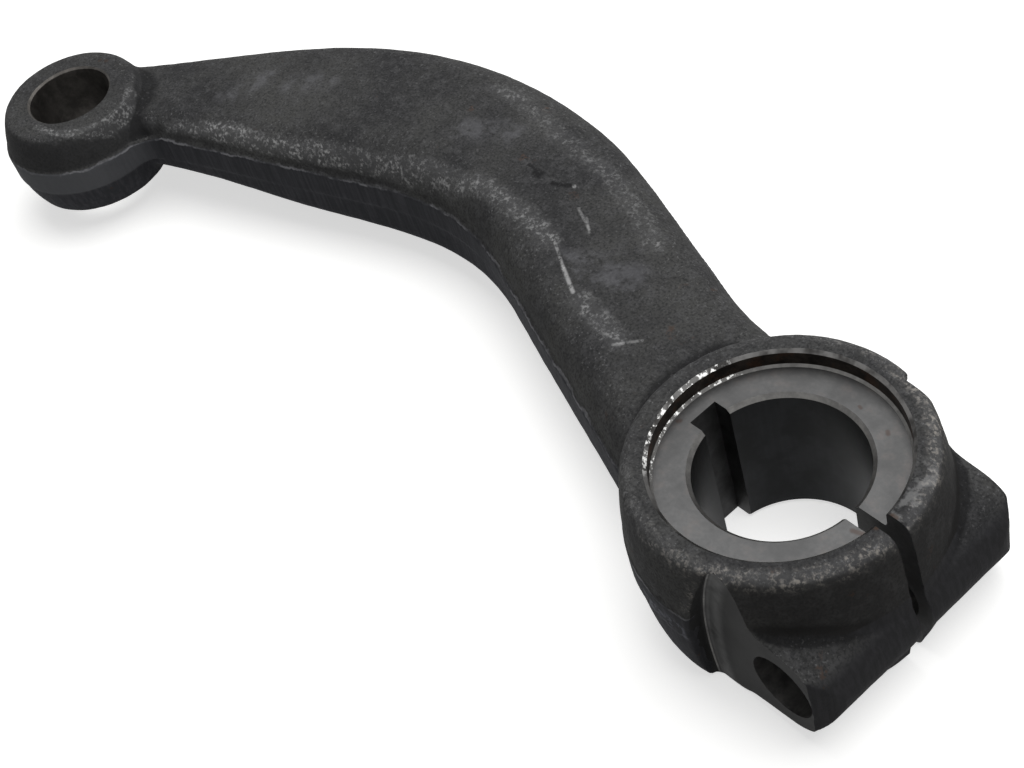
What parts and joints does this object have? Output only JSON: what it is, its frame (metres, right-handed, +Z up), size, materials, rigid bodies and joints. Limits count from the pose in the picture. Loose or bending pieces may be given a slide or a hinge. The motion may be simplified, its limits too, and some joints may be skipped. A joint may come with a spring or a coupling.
{
  "type": "steering arm",
  "caption": "Forged steering arm with a split keyed clamp hub at one end, a curved flat-topped arm and a tapered eye at the other end.",
  "frame": {"origin": "on the hub bore axis at the hub's lower face", "axes": "+Z up the hub bore to its counterbored face, +X from the bore out through the clamp slit, +Y along the pinch bolt; the arm leaves the hub towards -X and bends to the eye"},
  "size_m": [0.3373, 0.1164, 0.045],
  "materials": {
    "forged_steel": "dark oxide scale on a forged steel skin, worn grey on the edges, with the bores, counterbore and ear faces machined"
  },
  "bodies": {
    "root": {"steering_arm": "forged_steel"}
  },
  "joints": []
}
